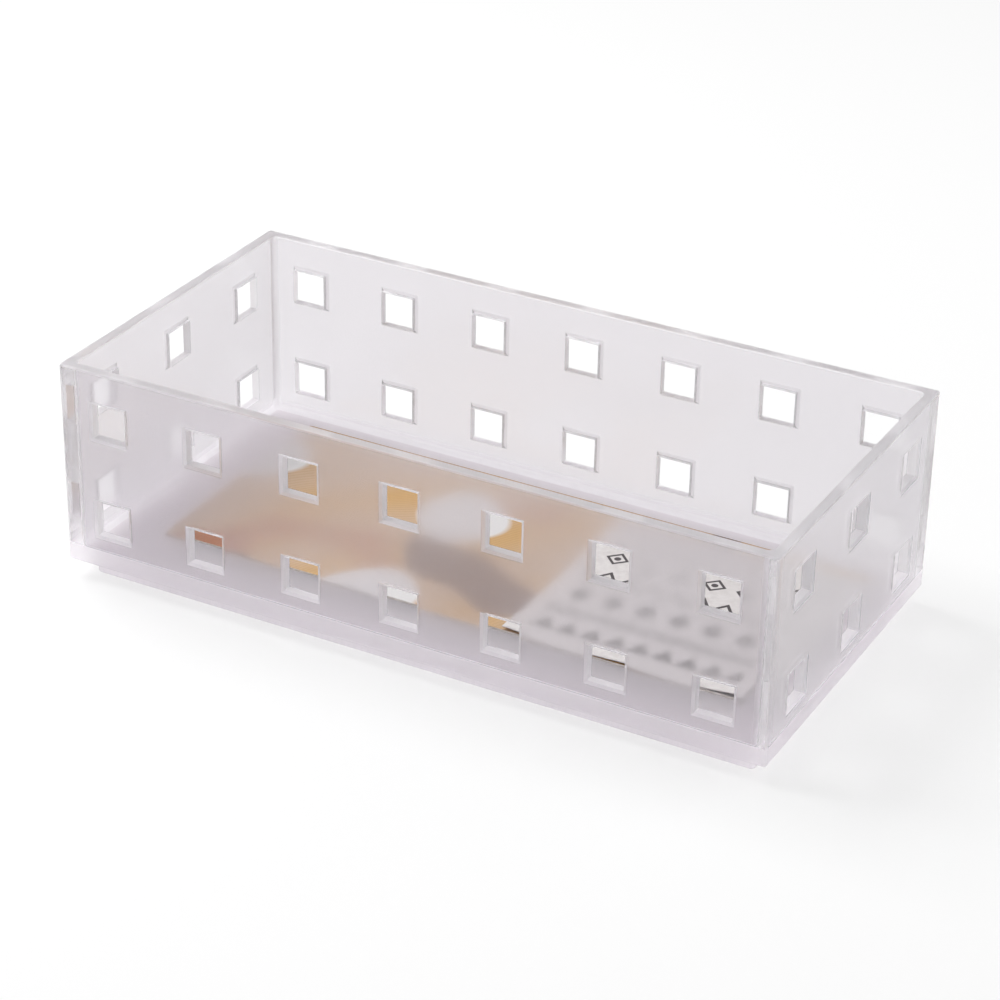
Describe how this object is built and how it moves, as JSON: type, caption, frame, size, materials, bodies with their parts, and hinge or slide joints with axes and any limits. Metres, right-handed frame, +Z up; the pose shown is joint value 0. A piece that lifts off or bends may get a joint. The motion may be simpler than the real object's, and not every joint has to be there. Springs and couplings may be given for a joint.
{
  "type": "organizer basket",
  "caption": "Open-top rectangular frosted plastic drawer basket with square windows in its walls and a stacking foot, a printed card and label on its floor.",
  "frame": {"origin": "middle of the footprint, on the surface the foot stands on", "axes": "+X along the basket's length, +Y from its front wall to its back wall, +Z up through the open top"},
  "size_m": [0.15, 0.075, 0.0463],
  "materials": {
    "frosted_plastic": "satin",
    "printed_card": "matte",
    "label_paper": "matte"
  },
  "bodies": {
    "root": {"basket": "frosted_plastic", "picture_card": "printed_card", "label_sheet": "label_paper"}
  },
  "joints": []
}
